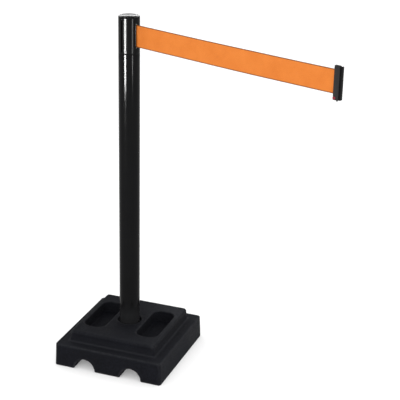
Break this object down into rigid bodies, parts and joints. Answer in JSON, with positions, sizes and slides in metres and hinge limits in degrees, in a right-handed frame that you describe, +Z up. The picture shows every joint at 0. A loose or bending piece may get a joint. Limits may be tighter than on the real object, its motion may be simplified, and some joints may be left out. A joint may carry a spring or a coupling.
{
  "type": "retractable belt barrier post",
  "caption": "Free-standing queue barrier post with a square rubber base, a round post and a retractable woven belt ending in a clip.",
  "frame": {"origin": "centre of the base's underside", "axes": "+Z up along the post, X along the front edge of the base, +Y towards the back; the belt leaves the head 19.3 degrees towards the front from +X"},
  "size_m": [0.8729, 0.4259, 1.0865],
  "materials": {
    "base_rubber": "matt moulded recycled rubber, fine mottled grain",
    "black_paint": "gloss black powder coat",
    "black_plastic": "satin moulded plastic",
    "cap_plastic": "gloss moulded plastic",
    "black_screw": "black oxide",
    "zinc_steel": "zinc plated steel",
    "spring_steel": "blued spring steel",
    "white_nylon": "natural nylon",
    "brake_lining": "brown friction lining",
    "orange_webbing": "flat woven polyester webbing",
    "red_plastic": "gloss moulded plastic"
  },
  "bodies": {
    "root": {"rubber_base": "base_rubber", "base_load_washer": "zinc_steel", "base_lock_washer": "zinc_steel", "base_bolt": "zinc_steel", "post_tube": "black_paint", "tube_foot_plate": "zinc_steel", "foot_weld_nut": "zinc_steel", "head_housing": "black_plastic", "head_screws": "black_screw", "top_cap": "cap_plastic", "belt_bezel": "black_plastic", "cassette_lower_plate": "zinc_steel", "cassette_upper_plate": "zinc_steel", "cassette_standoffs": "zinc_steel", "cassette_screws": "zinc_steel", "guide_pins": "zinc_steel", "lower_bush": "white_nylon", "upper_bush": "white_nylon", "spring_cup": "zinc_steel", "power_spring": "spring_steel", "brake_drum": "zinc_steel"},
    "spool": {"belt_spool": "white_nylon", "spool_shaft": "zinc_steel", "belt_roll": "orange_webbing", "brake_carrier": "zinc_steel"},
    "shoe_a": {"brake_shoe_a": "brake_lining"},
    "shoe_b": {"brake_shoe_b": "brake_lining"},
    "roller_left": {"guide_roller_left": "white_nylon"},
    "roller_right": {"guide_roller_right": "white_nylon"},
    "belt_end": {"belt": "orange_webbing", "clip_front_shell": "black_plastic", "clip_back_shell": "black_plastic", "tee_rail": "black_plastic", "hem_pin": "zinc_steel", "clip_screws": "black_screw", "latch_leaf_spring": "spring_steel"},
    "latch_button": {"latch_button": "red_plastic"},
    "latch_pawl": {"latch_pawl": "black_plastic"}
  },
  "joints": [
    {"name": "belt_pull", "type": "slide", "parent": "root", "child": "belt_end", "axis": [0.9438, -0.3305, 0], "range_m": [-0.678, 1.5], "stiffness_N_per_m": 5, "springref_m": -2.3, "deforming": ["belt"]},
    {"name": "spool_spin", "type": "hinge", "parent": "root", "child": "spool", "pos_m": [0, 0, 1.03], "axis": [0, 0, 1], "continuous": true, "deforming": ["power_spring"]},
    {"name": "roller_left_spin", "type": "hinge", "parent": "root", "child": "roller_left", "pos_m": [0.0244, -0.00536, 1.03], "axis": [0, 0, 1], "continuous": true},
    {"name": "roller_right_spin", "type": "hinge", "parent": "root", "child": "roller_right", "pos_m": [0.02242, -0.01103, 1.03], "axis": [0, 0, 1], "continuous": true},
    {"name": "brake_shoe_a_slide", "type": "slide", "parent": "spool", "child": "shoe_a", "axis": [0.9438, -0.3305, 0], "range_m": [0, 0.0005], "stiffness_N_per_m": 400, "springref_m": -0.0005},
    {"name": "brake_shoe_b_slide", "type": "slide", "parent": "spool", "child": "shoe_b", "axis": [-0.9438, 0.3305, 0], "range_m": [0, 0.0005], "stiffness_N_per_m": 400, "springref_m": -0.0005},
    {"name": "latch_press", "type": "slide", "parent": "belt_end", "child": "latch_button", "axis": [0.3305, 0.9438, 0], "range_m": [0, 0.0018], "stiffness_N_per_m": 600, "springref_m": -0.001, "deforming": ["latch_leaf_spring"]},
    {"name": "latch_lift", "type": "slide", "parent": "belt_end", "child": "latch_pawl", "axis": [0, 0, 1], "range_m": [0, 0.0028]}
  ],
  "couplings": [
    {"joint": "spool_spin", "follows": "belt_pull", "rad_per_m": -58.565},
    {"joint": "roller_left_spin", "follows": "belt_pull", "rad_per_m": 360.36},
    {"joint": "roller_right_spin", "follows": "belt_pull", "rad_per_m": -360.36},
    {"joint": "brake_shoe_b_slide", "follows": "brake_shoe_a_slide", "ratio": 1},
    {"joint": "latch_lift", "follows": "latch_press", "ratio": 1.5}
  ]
}
